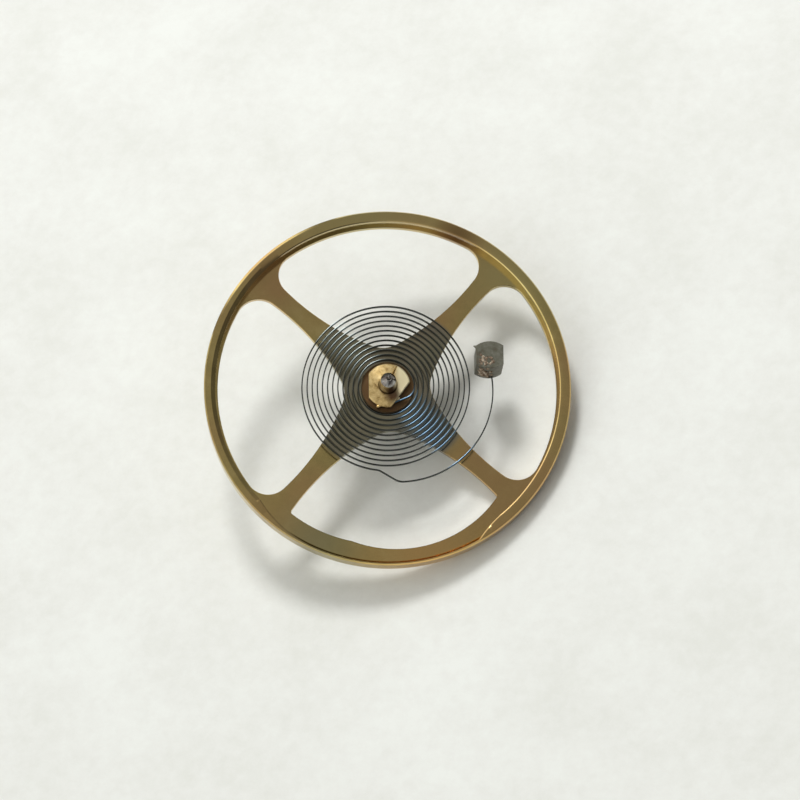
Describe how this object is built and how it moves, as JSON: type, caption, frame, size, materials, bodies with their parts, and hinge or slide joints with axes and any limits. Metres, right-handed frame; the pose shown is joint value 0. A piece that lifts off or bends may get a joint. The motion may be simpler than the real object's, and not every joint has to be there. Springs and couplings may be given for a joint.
{
  "type": "watch balance wheel with hairspring",
  "caption": "Gilt brass balance wheel of a pocket watch on its steel staff with rollers, flat spiral hairspring, brass collet and steel stud.",
  "frame": {"origin": "tip of the lower pivot, on the axis of the staff", "axes": "+Z along the staff towards the hairspring, +X towards the stud's side at rest"},
  "size_m": [0.0178, 0.0178, 0.0052],
  "materials": {
    "gilt_brass": "satin gilt, darkened",
    "brass": "turned",
    "polished_steel": "polished",
    "grey_steel": "dull, spotted with rust",
    "blued_steel": "blued",
    "ruby": "polished"
  },
  "bodies": {
    "balance": {"balance_wheel": "gilt_brass", "balance_staff": "polished_steel", "collet": "brass", "collet_pin": "brass", "hairspring": "blued_steel", "roller_table": "polished_steel", "safety_roller": "polished_steel", "impulse_pin": "ruby"},
    "stud": {"stud": "grey_steel", "stud_pin": "brass"}
  },
  "joints": [
    {"name": "balance_swing", "type": "hinge", "parent": "balance", "child": "stud", "pos_m": [0, 0, 0], "axis": [0, 0, 1], "range_deg": [-270, 270], "stiffness_Nm_per_rad": 0.0000051, "deforming": ["hairspring"]}
  ]
}
